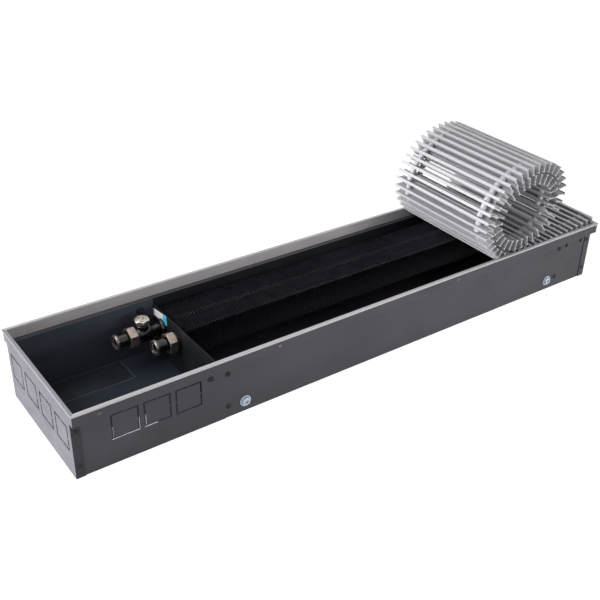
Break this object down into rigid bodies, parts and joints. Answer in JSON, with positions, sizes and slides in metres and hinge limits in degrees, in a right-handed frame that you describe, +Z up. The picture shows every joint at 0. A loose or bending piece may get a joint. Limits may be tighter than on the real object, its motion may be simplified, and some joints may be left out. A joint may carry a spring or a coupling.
{
  "type": "trench convector heater",
  "caption": "Long shallow floor trough with a finned heat exchanger, two pipe unions, an air vent and an aluminium grille that rolls up and lifts out.",
  "frame": {"origin": "middle of the trough's underside", "axes": "+X along the trough, away from the pipe unions; +Y to the side the heat exchanger is on; +Z up"},
  "size_m": [1, 0.24, 0.2611],
  "materials": {
    "black_steel": "satin black powder coat",
    "trim_aluminium": "natural anodised, satin",
    "grille_aluminium": "natural anodised, satin",
    "fin_black": "matt black lacquer",
    "tube_black": "matt black lacquer",
    "nickel": "nickel plated, bright",
    "black_nickel": "black nickel plated, glossy",
    "zinc": "pale blue zinc plated"
  },
  "bodies": {
    "trough": {"trough_shell": "black_steel", "end_plate_left": "black_steel", "end_plate_right": "black_steel", "trim_front": "trim_aluminium", "trim_right": "trim_aluminium", "trim_back": "trim_aluminium", "trim_left": "trim_aluminium", "partition_plate": "black_steel", "exchanger_bracket": "black_steel", "fin_block": "fin_black", "return_bend": "tube_black", "pipe_stub": "nickel", "tailpiece_front": "black_nickel", "vent_tee": "black_nickel", "tailpiece_back": "black_nickel", "vent_plug": "nickel", "foot_bolt_front_1": "zinc", "foot_bolt_front_2": "zinc", "foot_bolt_back_1": "zinc", "foot_bolt_back_2": "zinc"},
    "grille_bed": {"grille_flat": "grille_aluminium"},
    "link_01": {"grille_link_01": "grille_aluminium"},
    "link_02": {"grille_link_02": "grille_aluminium"},
    "link_03": {"grille_link_03": "grille_aluminium"},
    "link_04": {"grille_link_04": "grille_aluminium"},
    "link_05": {"grille_link_05": "grille_aluminium"},
    "link_06": {"grille_link_06": "grille_aluminium"},
    "link_07": {"grille_link_07": "grille_aluminium"},
    "link_08": {"grille_link_08": "grille_aluminium"},
    "roll": {"grille_link_09": "grille_aluminium", "grille_link_10": "grille_aluminium", "grille_link_11": "grille_aluminium", "grille_link_12": "grille_aluminium", "grille_link_13": "grille_aluminium", "grille_link_14": "grille_aluminium", "grille_link_15": "grille_aluminium", "grille_link_16": "grille_aluminium", "grille_link_17": "grille_aluminium", "grille_link_18": "grille_aluminium", "grille_link_19": "grille_aluminium", "grille_link_20": "grille_aluminium", "grille_link_21": "grille_aluminium", "grille_link_22": "grille_aluminium", "grille_link_23": "grille_aluminium", "grille_link_24": "grille_aluminium", "grille_link_25": "grille_aluminium", "grille_link_26": "grille_aluminium", "grille_link_27": "grille_aluminium", "grille_link_28": "grille_aluminium", "grille_link_29": "grille_aluminium"},
    "bleed_screw": {"bleed_screw": "nickel"},
    "nut_front": {"union_nut_front": "nickel"},
    "nut_back": {"union_nut_back": "nickel"}
  },
  "joints": [
    {"name": "grille_lift", "type": "slide", "parent": "trough", "child": "grille_bed", "axis": [0, 0, 1], "range_m": [0, 0.15]},
    {"name": "grille_unroll", "type": "hinge", "parent": "grille_bed", "child": "link_01", "pos_m": [0.2727, 0, 0.1015], "axis": [0, -1, 0], "range_deg": [0, 30.29]},
    {"name": "unroll_02", "type": "hinge", "parent": "link_01", "child": "link_02", "pos_m": [0.2499, 0, 0.11482], "axis": [0, -1, 0], "range_deg": [0, 16.03]},
    {"name": "unroll_03", "type": "hinge", "parent": "link_02", "child": "link_03", "pos_m": [0.23167, 0, 0.13391], "axis": [0, -1, 0], "range_deg": [0, 24.54]},
    {"name": "unroll_04", "type": "hinge", "parent": "link_03", "child": "link_04", "pos_m": [0.22302, 0, 0.15885], "axis": [0, -1, 0], "range_deg": [0, 24.09]},
    {"name": "unroll_05", "type": "hinge", "parent": "link_04", "child": "link_05", "pos_m": [0.2253, 0, 0.18515], "axis": [0, -1, 0], "range_deg": [0, 20.6]},
    {"name": "unroll_06", "type": "hinge", "parent": "link_05", "child": "link_06", "pos_m": [0.23669, 0, 0.20897], "axis": [0, -1, 0], "range_deg": [0, 17.02]},
    {"name": "unroll_07", "type": "hinge", "parent": "link_06", "child": "link_07", "pos_m": [0.25455, 0, 0.22841], "axis": [0, -1, 0], "range_deg": [0, 14.8]},
    {"name": "unroll_08", "type": "hinge", "parent": "link_07", "child": "link_08", "pos_m": [0.27679, 0, 0.24264], "axis": [0, -1, 0], "range_deg": [0, 13.98]},
    {"name": "unroll_09", "type": "hinge", "parent": "link_08", "child": "roll", "pos_m": [0.3018, 0, 0.25108], "axis": [0, -1, 0], "range_deg": [0, 14.54]},
    {"name": "bleed_screw_turn", "type": "hinge", "parent": "trough", "child": "bleed_screw", "pos_m": [-0.305, 0.078, 0.082], "axis": [0, 0, 1], "range_deg": [0, 360]},
    {"name": "union_nut_front_turn", "type": "hinge", "parent": "trough", "child": "nut_front", "pos_m": [-0.282, 0.033, 0.0555], "axis": [-1, 0, 0], "range_deg": [0, 360]},
    {"name": "union_nut_back_turn", "type": "hinge", "parent": "trough", "child": "nut_back", "pos_m": [-0.324, 0.078, 0.0555], "axis": [-1, 0, 0], "range_deg": [0, 360]}
  ]
}
